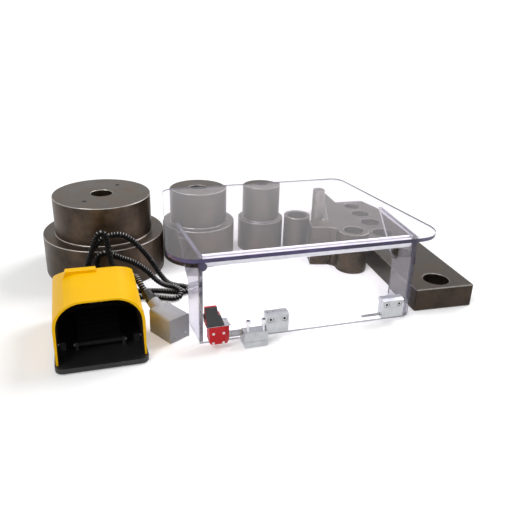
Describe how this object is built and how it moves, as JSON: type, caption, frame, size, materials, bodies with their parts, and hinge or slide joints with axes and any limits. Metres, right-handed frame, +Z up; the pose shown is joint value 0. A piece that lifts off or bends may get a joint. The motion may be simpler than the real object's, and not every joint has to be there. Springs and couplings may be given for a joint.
{
  "type": "rebar bender tooling set with hinged guard and foot pedal",
  "caption": "Stepped bending mandrels, sleeve, pin, bracket and holed bar, with a clear hinged guard, its safety switch and a hooded foot pedal on a conduit.",
  "frame": {"origin": "middle of the underside of the set's box, without the conduit and the connector on its end", "axes": "+X along the guard's front pane to the right, +Y away from the user, +Z up"},
  "size_m": [0.9326, 0.7114, 0.189],
  "materials": {
    "tool_steel": "dark machined steel, semi-matt",
    "ground_steel": "ground steel, satin",
    "clear_sheet": "clear polycarbonate sheet, polished faces",
    "zinc_steel": "zinc-plated steel, satin",
    "bright_screw": "bright plated",
    "red_plastic": "red moulded plastic, semi-gloss",
    "dark_plastic": "dark grey moulded plastic",
    "yellow_paint": "yellow enamel, gloss",
    "black_plastic": "black moulded plastic",
    "rubber": "matt rubber",
    "grey_hood": "grey powder coat over die-cast aluminium",
    "brass": "machined brass",
    "white_plastic": "white acetal plastic"
  },
  "bodies": {
    "foot_pedal": {"pedal_hood": "yellow_paint", "pedal_base": "black_plastic", "pedal_foot_1": "rubber", "pedal_foot_2": "rubber", "pedal_foot_3": "rubber", "pedal_foot_4": "rubber", "hood_screw_1": "bright_screw", "hood_screw_2": "bright_screw", "treadle_pin": "bright_screw", "pedal_switch_block": "dark_plastic", "treadle_spring": "bright_screw", "latch_frame": "zinc_steel", "latch_pin": "bright_screw", "conduit_gland": "black_plastic", "gland_nut": "black_plastic", "conduit": "black_plastic", "connector_hood": "grey_hood", "connector_gland": "black_plastic", "connector_insert": "dark_plastic"},
    "treadle_body": {"treadle": "black_plastic"},
    "plunger_body": {"pedal_plunger": "white_plastic"},
    "latch_body": {"toe_latch": "zinc_steel"},
    "guard_mount": {"floor_hinge_leaf": "zinc_steel", "floor_leaf_plate": "zinc_steel", "hinge_bush": "brass", "floor_leaf_screw_1": "bright_screw", "floor_leaf_screw_2": "bright_screw", "hinge_shaft": "ground_steel", "switch_cam": "brass"},
    "guard": {"guard_top_plate": "clear_sheet", "guard_front_pane": "clear_sheet", "guard_left_panel": "clear_sheet", "guard_right_panel": "clear_sheet", "guard_tie_rod": "white_plastic", "left_hinge_leaf": "zinc_steel", "right_hinge_leaf": "zinc_steel", "leaf_screw_1": "bright_screw", "leaf_screw_2": "bright_screw", "leaf_screw_3": "bright_screw", "leaf_screw_4": "bright_screw", "leaf_nut_1": "bright_screw", "leaf_nut_2": "bright_screw", "leaf_nut_3": "bright_screw", "leaf_nut_4": "bright_screw", "right_hinge_pin": "bright_screw", "switch_head": "red_plastic", "switch_body": "red_plastic", "switch_cover": "dark_plastic", "switch_mount_plate": "zinc_steel", "contact_block": "white_plastic", "entry_plug": "black_plastic"},
    "stem_body": {"switch_stem": "white_plastic"},
    "large_mandrel_body": {"large_mandrel": "tool_steel"},
    "medium_mandrel_body": {"medium_mandrel": "tool_steel"},
    "small_mandrel_body": {"small_mandrel": "tool_steel"},
    "sleeve_body": {"spacer_sleeve": "tool_steel"},
    "pin_body": {"plain_pin": "ground_steel"},
    "bracket_body": {"boss_bracket": "tool_steel"},
    "bar_body": {"six_hole_bar": "tool_steel"}
  },
  "joints": [
    {"name": "guard_lift", "type": "slide", "parent": "foot_pedal", "child": "guard_mount", "axis": [0, 0, 1], "range_m": [0, 0.1]},
    {"name": "guard_swing", "type": "hinge", "parent": "guard_mount", "child": "guard", "pos_m": [0.05142, -0.32421, 0.021], "axis": [1, 0, 0], "range_deg": [0, 30]},
    {"name": "stem_travel", "type": "slide", "parent": "guard", "child": "stem_body", "axis": [0, 0, 1], "range_m": [0, 0.0008]},
    {"name": "treadle_press", "type": "hinge", "parent": "foot_pedal", "child": "treadle_body", "pos_m": [-0.36458, -0.29171, 0.021], "axis": [-1, 0, 0], "range_deg": [0, 6], "stiffness_Nm_per_rad": 15, "springref_deg": -1.72, "deforming": ["treadle_spring"]},
    {"name": "plunger_travel", "type": "slide", "parent": "foot_pedal", "child": "plunger_body", "axis": [0, 0, -1], "range_m": [0, 0.0064]},
    {"name": "latch_swing", "type": "hinge", "parent": "foot_pedal", "child": "latch_body", "pos_m": [-0.36458, -0.17821, 0.066], "axis": [1, 0, 0], "range_deg": [0, 12], "stiffness_Nm_per_rad": 0.05, "springref_deg": -11.46},
    {"name": "large_mandrel_lift", "type": "slide", "parent": "foot_pedal", "child": "large_mandrel_body", "axis": [0, 0, 1], "range_m": [0, 0.15]},
    {"name": "medium_mandrel_slide", "type": "slide", "parent": "foot_pedal", "child": "medium_mandrel_body", "axis": [0, 1, 0], "range_m": [0, 0.1]},
    {"name": "small_mandrel_slide", "type": "slide", "parent": "foot_pedal", "child": "small_mandrel_body", "axis": [0, 1, 0], "range_m": [0, 0.1]},
    {"name": "sleeve_lift", "type": "slide", "parent": "foot_pedal", "child": "sleeve_body", "axis": [0, 0, 1], "range_m": [0, 0.08]},
    {"name": "pin_slide", "type": "slide", "parent": "foot_pedal", "child": "pin_body", "axis": [0.5, 0.866, 0], "range_m": [0, 0.06]},
    {"name": "bracket_lift", "type": "slide", "parent": "foot_pedal", "child": "bracket_body", "axis": [0, 0, 1], "range_m": [0, 0.07]},
    {"name": "bar_lift", "type": "slide", "parent": "foot_pedal", "child": "bar_body", "axis": [0, 0, 1], "range_m": [0, 0.12]}
  ],
  "couplings": [
    {"joint": "stem_travel", "follows": "guard_swing", "m_per_rad": 0.0015},
    {"joint": "plunger_travel", "follows": "treadle_press", "m_per_rad": 0.06}
  ]
}
